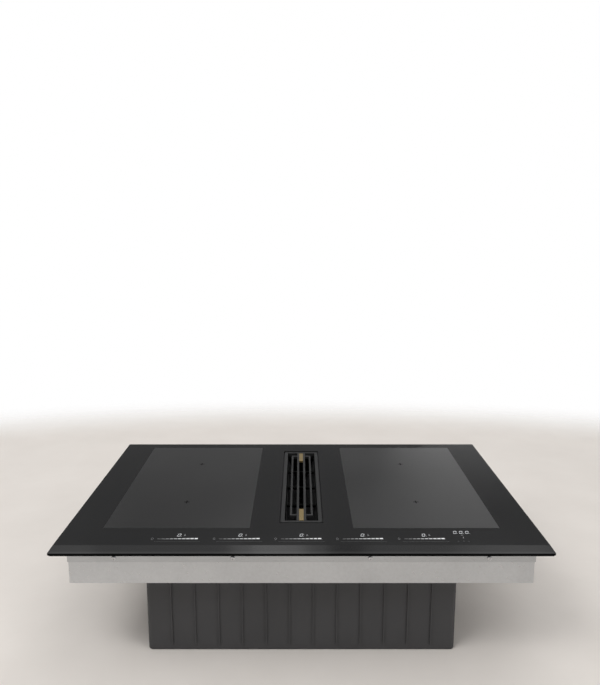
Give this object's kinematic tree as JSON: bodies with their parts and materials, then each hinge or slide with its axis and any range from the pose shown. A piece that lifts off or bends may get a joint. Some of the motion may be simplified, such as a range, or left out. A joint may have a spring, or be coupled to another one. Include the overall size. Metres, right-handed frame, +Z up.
{
  "type": "downdraft induction cooktop",
  "caption": "Flush black glass induction cooktop with a front facet, slider touch controls, a central grille with brass grips over a downdraft vent, and a stepped housing with blower.",
  "frame": {"origin": "under the centre of the glass plate, at the underside of the air box", "axes": "+Z up out of the glass, +X to the user's right along the width, +Y to the back"},
  "size_m": [0.8, 0.52, 0.21],
  "materials": {
    "black_glass": "polished",
    "seal_foam": "matte",
    "zinc_steel": "satin",
    "carrier_steel": "satin",
    "collar_black": "matte",
    "gasket_rubber": "matte",
    "grille_black": "satin",
    "grip_brass": "brushed",
    "filter_black": "satin",
    "filter_mesh": "satin",
    "tray_grey": "matte",
    "mica": "matte",
    "copper": "satin",
    "ferrite": "matte",
    "aluminium_plate": "satin",
    "board_green": "satin",
    "sensor_white": "matte",
    "carrier_plastic": "matte",
    "black_plastic": "matte",
    "capacitor_blue": "gloss",
    "box_plastic": "matte",
    "blower_plastic": "matte",
    "screw_steel": "satin",
    "motor_metal": "satin",
    "wire_red": "matte",
    "light_guide": "satin",
    "spring_steel": "satin"
  },
  "bodies": {
    "cooktop_body": {"air_box": "box_plastic", "air_box_lid": "zinc_steel", "air_box_screws": "screw_steel", "blower_cover": "blower_plastic", "blower_motor": "motor_metal", "blower_mounts": "gasket_rubber", "blower_scroll": "blower_plastic", "cable_gland": "black_plastic", "capacitors": "capacitor_blue", "clamp_screws": "screw_steel", "coil_base_plates": "aluminium_plate", "coil_carriers": "carrier_plastic", "coil_ferrites": "ferrite", "coil_leads": "wire_red", "coil_springs": "spring_steel", "coil_winding_back_left": "copper", "coil_winding_back_right": "copper", "coil_winding_front_left": "copper", "coil_winding_front_right": "copper", "control_board": "board_green", "control_carrier": "black_plastic", "cooling_fan_housings": "black_plastic", "display_modules": "black_plastic", "frame_screws": "screw_steel", "gland_nut": "black_plastic", "glass_carrier_frame": "carrier_steel", "glass_edge_seal": "seal_foam", "glass_top": "black_glass", "heat_sinks": "aluminium_plate", "induction_tray": "zinc_steel", "mains_filter_board": "board_green", "mica_sheets": "mica", "outlet_spigot": "black_plastic", "power_board_left": "board_green", "power_board_right": "board_green", "shaft_seal": "gasket_rubber", "slider_light_guides": "light_guide", "spigot_screws": "screw_steel", "standoffs": "screw_steel", "temperature_sensors": "sensor_white", "terminal_block": "carrier_plastic", "tray_guides": "zinc_steel", "vent_collar": "collar_black", "vent_gasket": "gasket_rubber", "worktop_clamps": "zinc_steel"},
    "overflow_tray": {"overflow_tray": "tray_grey"},
    "grease_filter": {"filter_frame": "filter_black", "filter_mesh_left": "filter_mesh", "filter_mesh_right": "filter_mesh"},
    "grille": {"grille_frame": "grille_black", "grille_bars": "grille_black", "grille_grip_front": "grip_brass", "grille_grip_back": "grip_brass"},
    "blower_rotor": {"impeller": "blower_plastic", "motor_shaft": "screw_steel", "impeller_nut": "screw_steel"},
    "fan_rotor_left": {"cooling_fan_rotor_left": "black_plastic"},
    "fan_rotor_right": {"cooling_fan_rotor_right": "black_plastic"},
    "outlet_flap": {"non_return_flap": "box_plastic", "flap_pin": "screw_steel"}
  },
  "joints": [
    {"name": "overflow_tray_lift", "type": "slide", "parent": "cooktop_body", "child": "overflow_tray", "axis": [0, 0, 1], "range_m": [0, 0.215]},
    {"name": "filter_lift", "type": "slide", "parent": "overflow_tray", "child": "grease_filter", "axis": [0, 0, 1], "range_m": [0, 0.09]},
    {"name": "grille_lift", "type": "slide", "parent": "grease_filter", "child": "grille", "axis": [0, 0, 1], "range_m": [0, 0.04]},
    {"name": "blower_spin", "type": "hinge", "parent": "cooktop_body", "child": "blower_rotor", "pos_m": [0.138, 0.008, 0.05], "axis": [0, 0, 1], "continuous": true},
    {"name": "left_fan_spin", "type": "hinge", "parent": "cooktop_body", "child": "fan_rotor_left", "pos_m": [-0.3, -0.1, 0.158], "axis": [0, 0, 1], "continuous": true},
    {"name": "right_fan_spin", "type": "hinge", "parent": "cooktop_body", "child": "fan_rotor_right", "pos_m": [0.3, -0.1, 0.158], "axis": [0, 0, 1], "continuous": true},
    {"name": "flap_swing", "type": "hinge", "parent": "cooktop_body", "child": "outlet_flap", "pos_m": [0.128, 0.248, 0.0945], "axis": [1, 0, 0], "range_deg": [0, 80]}
  ]
}
